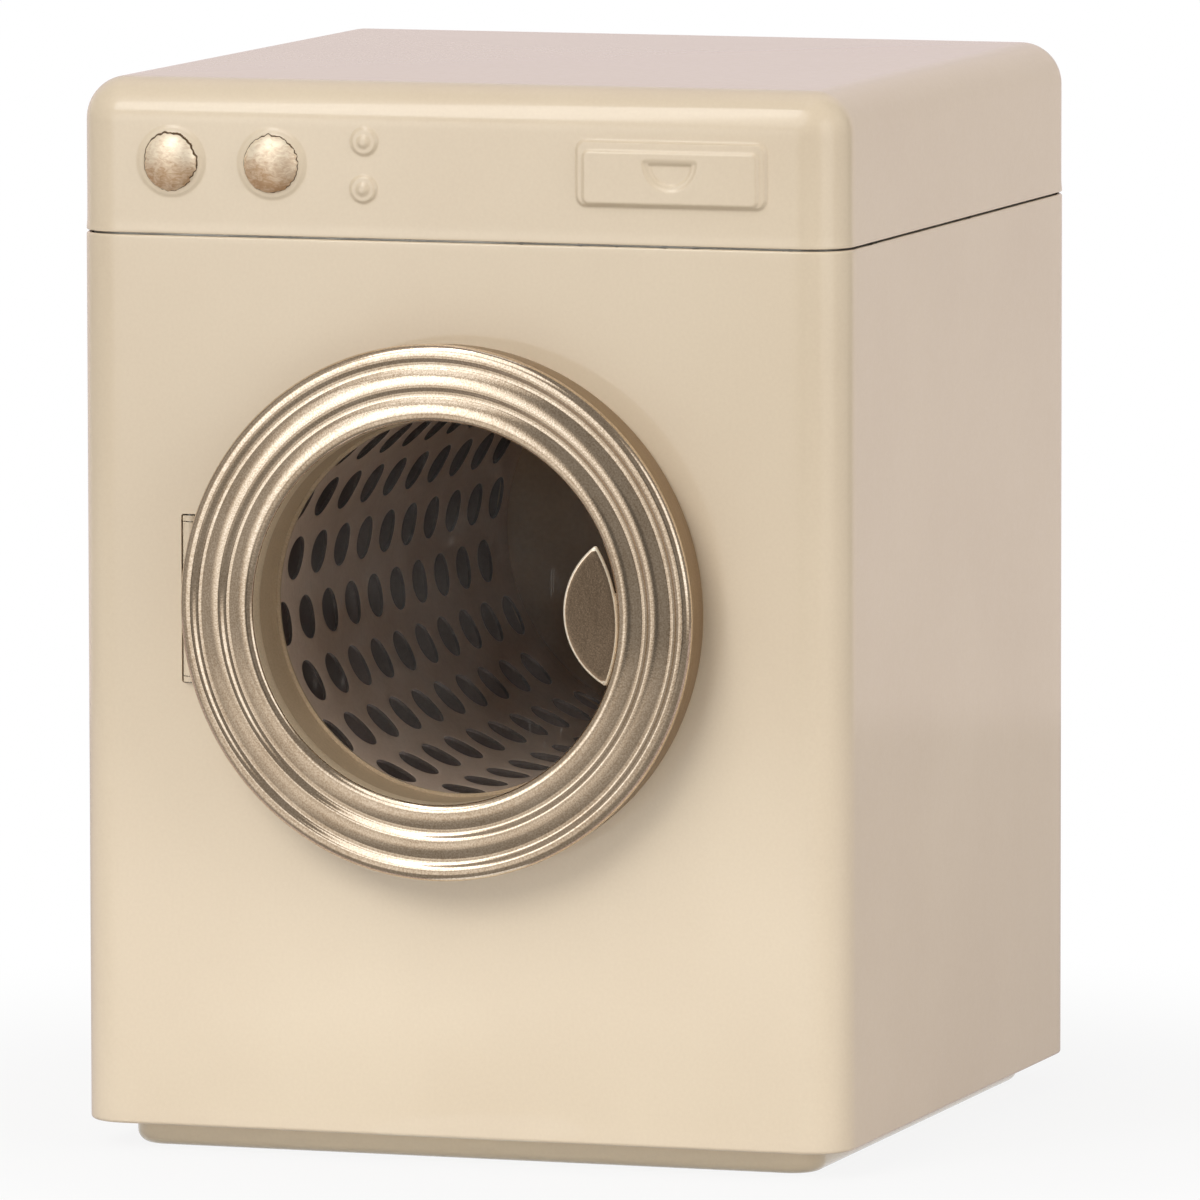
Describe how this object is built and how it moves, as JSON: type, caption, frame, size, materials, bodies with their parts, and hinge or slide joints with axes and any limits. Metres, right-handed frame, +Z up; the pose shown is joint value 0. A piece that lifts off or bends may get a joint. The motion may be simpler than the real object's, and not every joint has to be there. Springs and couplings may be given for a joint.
{
  "type": "toy washing machine",
  "caption": "Miniature tinplate front-loading washing machine: square casing on a recessed foot, lift-off lid, porthole door with a ribbed ring, perforated drum that turns.",
  "frame": {"origin": "centre of the foot's resting face, on the floor under the middle of the casing", "axes": "+Z up along the height, -Y out of the door side, +X to the right as seen from the door side"},
  "size_m": [0.09, 0.0989, 0.121],
  "materials": {
    "cream_paint": "satin cream enamel on tinplate",
    "gold_paint": "brushed champagne gold lacquer",
    "drum_paint": "warm grey satin",
    "bare_tinplate": "bare tinplate",
    "pin_steel": "plain steel",
    "bush_brass": "turned",
    "clear_window": "clear sheet, lightly scuffed"
  },
  "bodies": {
    "case": {"body_shell": "cream_paint", "base_pan": "cream_paint", "lid_collar": "bare_tinplate", "drum_guide": "bare_tinplate", "bearing_plate": "bare_tinplate", "rear_bush": "bush_brass", "hinge_bracket": "cream_paint", "hinge_pin": "pin_steel"},
    "lid": {"top_lid": "cream_paint"},
    "door": {"door_leaf": "cream_paint", "rivet_upper": "pin_steel", "rivet_lower": "pin_steel", "door_pan": "cream_paint", "door_ring": "gold_paint", "door_window": "clear_window", "window_clip": "pin_steel", "finger_tab": "gold_paint"},
    "drum": {"drum_wall": "drum_paint", "drum_hem": "drum_paint", "drum_back": "drum_paint", "drum_hub": "bare_tinplate", "drum_shaft": "pin_steel", "shaft_nut": "pin_steel"}
  },
  "joints": [
    {"name": "door_hinge", "type": "hinge", "parent": "case", "child": "door", "pos_m": [-0.03135, -0.0447, 0.0627], "axis": [0, 0, -1], "range_deg": [0, 94]},
    {"name": "drum_spin", "type": "hinge", "parent": "case", "child": "drum", "pos_m": [-0.0003, 0, 0.0627], "axis": [0, 1, 0], "continuous": true},
    {"name": "lid_lift", "type": "slide", "parent": "case", "child": "lid", "axis": [0, 0, 1], "range_m": [0, 0.03]}
  ]
}
